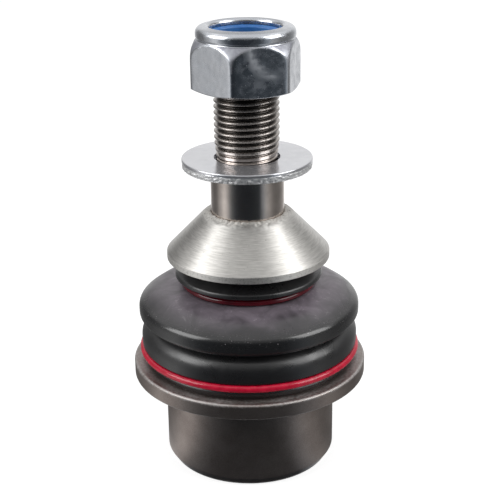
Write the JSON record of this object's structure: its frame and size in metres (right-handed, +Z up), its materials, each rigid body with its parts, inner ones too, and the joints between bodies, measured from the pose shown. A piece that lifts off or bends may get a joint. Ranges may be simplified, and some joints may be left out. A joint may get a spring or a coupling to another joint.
{
  "type": "suspension ball joint",
  "caption": "Press-in suspension ball joint: flanged round housing, bellows boot with clamp rings, tilting stud with a turned cone, washer and self-locking nut.",
  "frame": {"origin": "centre of the housing's bottom face, on the axis of the barrel and of the upright stud", "axes": "+Z up along the stud towards the nut; -Y is the side that the picture shows"},
  "size_m": [0.0596, 0.0596, 0.1119],
  "materials": {
    "phosphated_steel": "phosphated, dull brown-grey",
    "zinc_plated_steel": "bright zinc, satin",
    "turned_steel": "fine turned, bright",
    "hardened_stud_steel": "ground, darkened brown",
    "spring_steel": "blued",
    "boot_rubber": "matt black chloroprene with light dust",
    "clamp_red": "glossy red",
    "bearing_plastic": "natural acetal",
    "nylon_blue": "blue nylon, satin",
    "seal_rubber": "nitrile rubber"
  },
  "bodies": {
    "housing": {"housing": "phosphated_steel", "cover_plate": "zinc_plated_steel", "cover_seal_ring": "seal_rubber", "preload_spring": "spring_steel", "dust_boot": "boot_rubber", "boot_lower_clamp": "clamp_red"},
    "bearing": {"lower_bearing_shell": "bearing_plastic", "upper_bearing_shell": "bearing_plastic"},
    "boot_lip": {"boot_upper_clamp": "clamp_red", "lip_slide_ring": "bearing_plastic"},
    "stud": {"ball_stud": "hardened_stud_steel", "cone_collar": "turned_steel"},
    "washer": {"plain_washer": "zinc_plated_steel"},
    "nut_carrier": {"nylon_insert": "nylon_blue"},
    "nut": {"nut_body": "zinc_plated_steel"}
  },
  "joints": [
    {"name": "bearing_swivel", "type": "hinge", "parent": "housing", "child": "bearing", "pos_m": [0, 0, 0.0185], "axis": [0, 0, 1], "continuous": true},
    {"name": "stud_tilt", "type": "hinge", "parent": "bearing", "child": "boot_lip", "pos_m": [0, 0, 0.0185], "axis": [1, 0, 0], "range_deg": [-20, 20], "deforming": ["dust_boot"]},
    {"name": "stud_spin", "type": "hinge", "parent": "boot_lip", "child": "stud", "pos_m": [0, 0, 0.0185], "axis": [0, 0, 1], "continuous": true},
    {"name": "washer_lift", "type": "slide", "parent": "stud", "child": "washer", "axis": [0, 0, 1], "range_m": [0, 0.0053]},
    {"name": "nut_travel", "type": "slide", "parent": "stud", "child": "nut_carrier", "axis": [0, 0, 1], "range_m": [-0.0115, 0.006]},
    {"name": "nut_spin", "type": "hinge", "parent": "nut_carrier", "child": "nut", "pos_m": [0, 0, 0.105], "axis": [0, 0, 1], "range_deg": [-2760, 1440]}
  ],
  "couplings": [
    {"joint": "nut_travel", "follows": "nut_spin", "m_per_rad": 0.00023873}
  ]
}
